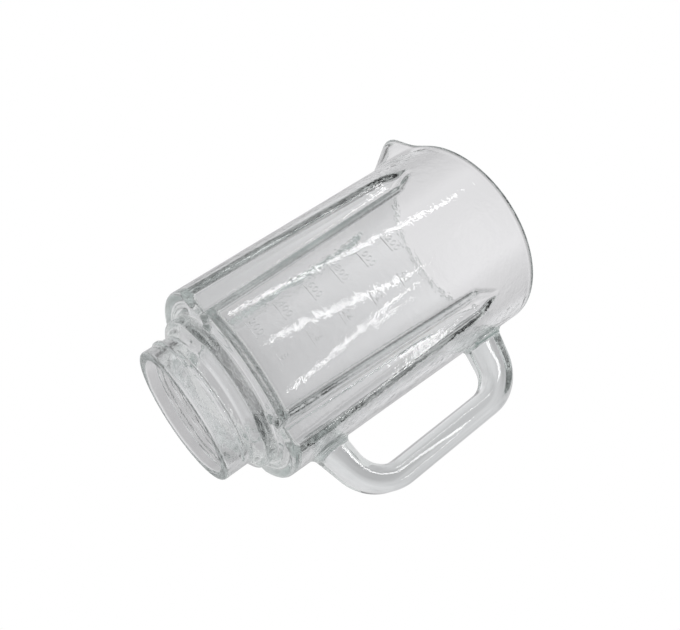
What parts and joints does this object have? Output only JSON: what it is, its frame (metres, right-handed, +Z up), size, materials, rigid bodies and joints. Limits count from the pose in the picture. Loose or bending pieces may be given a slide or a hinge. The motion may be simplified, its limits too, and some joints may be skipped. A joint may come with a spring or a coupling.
{
  "type": "blender jar",
  "caption": "Clear pressed-glass blender jar with a threaded neck, collar and ledge, curved panels between flutes, a broad pouring lip and a D-shaped handle.",
  "frame": {"origin": "centre of the neck's end face, on the jar's axis", "axes": "+Z up the jar's axis towards the rim, +X towards the handle, -X towards the pouring lip, -Y towards the graduated panel"},
  "size_m": [0.1913, 0.1349, 0.225],
  "materials": {
    "jar_glass": "clear pressed glass, fire-polished, faintly green where it is thick"
  },
  "bodies": {
    "root": {"jar": "jar_glass"}
  },
  "joints": []
}
